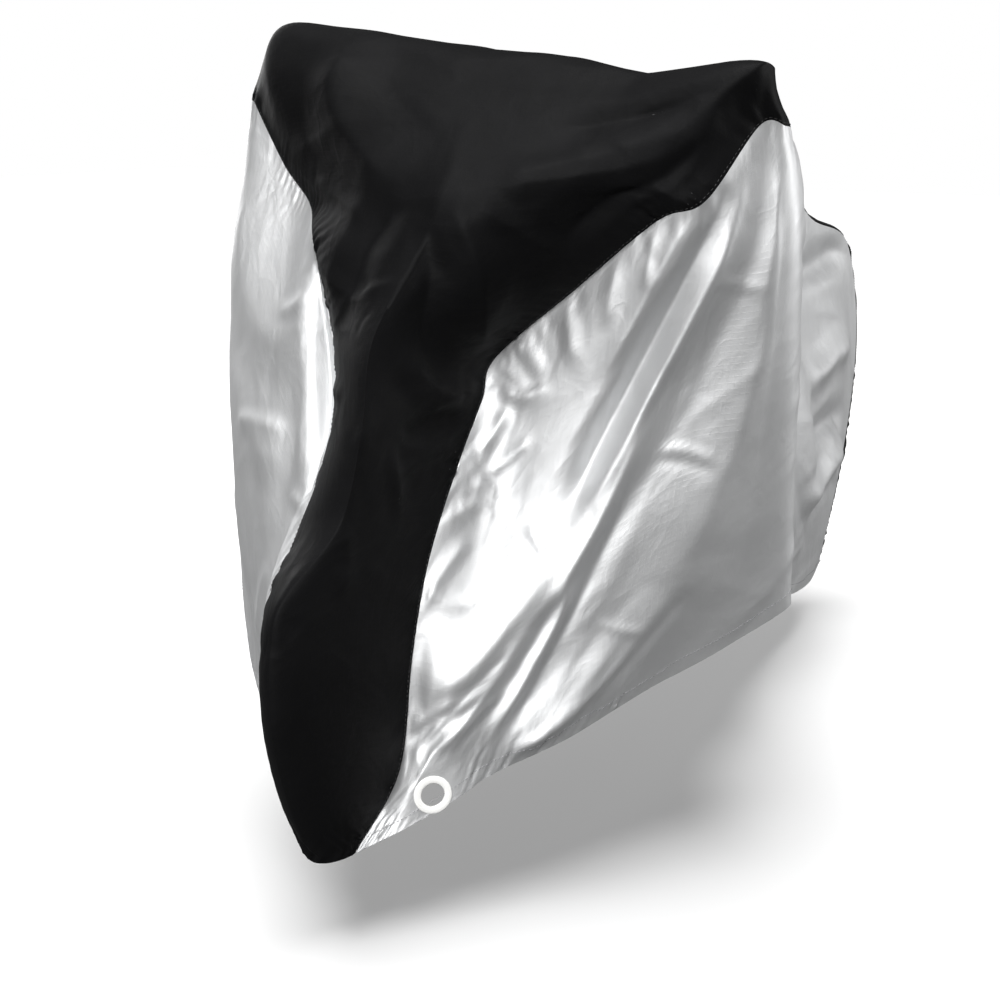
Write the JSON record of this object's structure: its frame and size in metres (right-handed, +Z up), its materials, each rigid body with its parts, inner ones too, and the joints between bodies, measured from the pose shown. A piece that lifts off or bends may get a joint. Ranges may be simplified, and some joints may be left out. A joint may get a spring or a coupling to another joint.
{
  "type": "bicycle cover",
  "caption": "Fitted cloth cover draped as over a parked bicycle: black middle panel, silver side panels, elastic hem and a lock eyelet in each front hem corner.",
  "frame": {"origin": "the place on the inner face of the cloth, under the top of the cross ridge, where the bicycle's handlebar carries the cover", "axes": "+X to the left side of the covered bicycle, -Y to its front, +Z up"},
  "size_m": [0.7493, 1.7253, 0.9701],
  "materials": {
    "black_cloth": "black woven polyester, coated inside, satin",
    "silver_cloth": "woven polyester with a silver coating outside, satin metallic",
    "white_plastic": "white moulded eyelet"
  },
  "bodies": {
    "root": {"centre_panel": "black_cloth", "side_panel_left": "silver_cloth", "side_panel_right": "silver_cloth", "eyelet_strip_left": "silver_cloth", "eyelet_strip_right": "silver_cloth", "eyelet_left": "white_plastic", "eyelet_right": "white_plastic"}
  },
  "joints": []
}
